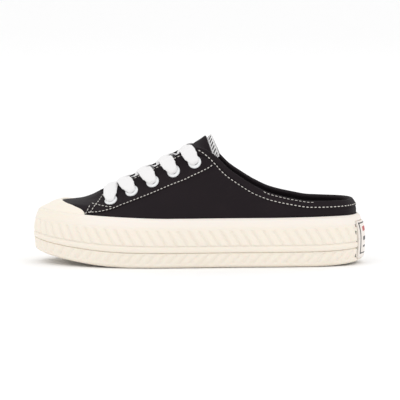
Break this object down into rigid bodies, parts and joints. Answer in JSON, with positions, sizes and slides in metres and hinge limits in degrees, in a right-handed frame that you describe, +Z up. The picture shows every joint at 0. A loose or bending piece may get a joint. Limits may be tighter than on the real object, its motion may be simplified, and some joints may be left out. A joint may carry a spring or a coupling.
{
  "type": "low-backed canvas sneaker",
  "caption": "Left lace-front canvas mule sneaker with a low heel collar, rubber toe cap and thick ribbed platform sole, standing on its sole.",
  "frame": {"origin": "middle of the footprint on the ground plane, under the sole", "axes": "+X from toe to heel along the shoe's length, +Y to the medial (inner) side, +Z up"},
  "size_m": [0.271, 0.1008, 0.1049],
  "materials": {
    "sole_rubber": "matt moulded cream rubber",
    "patch_rubber": "matt cream rubber plate",
    "canvas": "black cotton canvas, off-white topstitching",
    "footbed": "black textile footbed",
    "lace": "white flat cotton lace",
    "label": "white woven label",
    "eyelet": "white gloss enamel"
  },
  "bodies": {
    "root": {"outsole": "sole_rubber", "midsole": "sole_rubber", "toe_cap": "sole_rubber", "heel_patch": "patch_rubber", "insole": "footbed", "upper": "canvas", "eyestay_lateral": "canvas", "eyestay_medial": "canvas", "collar_binding": "canvas", "tongue": "canvas", "tongue_label": "label", "lace_bar_1": "lace", "lace_cross_1": "lace", "lace_cross_2": "lace", "lace_cross_3": "lace", "lace_cross_4": "lace", "eyelet_lateral_1": "eyelet", "eyelet_lateral_2": "eyelet", "eyelet_lateral_3": "eyelet", "eyelet_lateral_4": "eyelet", "eyelet_lateral_5": "eyelet", "eyelet_medial_1": "eyelet", "eyelet_medial_2": "eyelet", "eyelet_medial_3": "eyelet", "eyelet_medial_4": "eyelet", "eyelet_medial_5": "eyelet"}
  },
  "joints": []
}
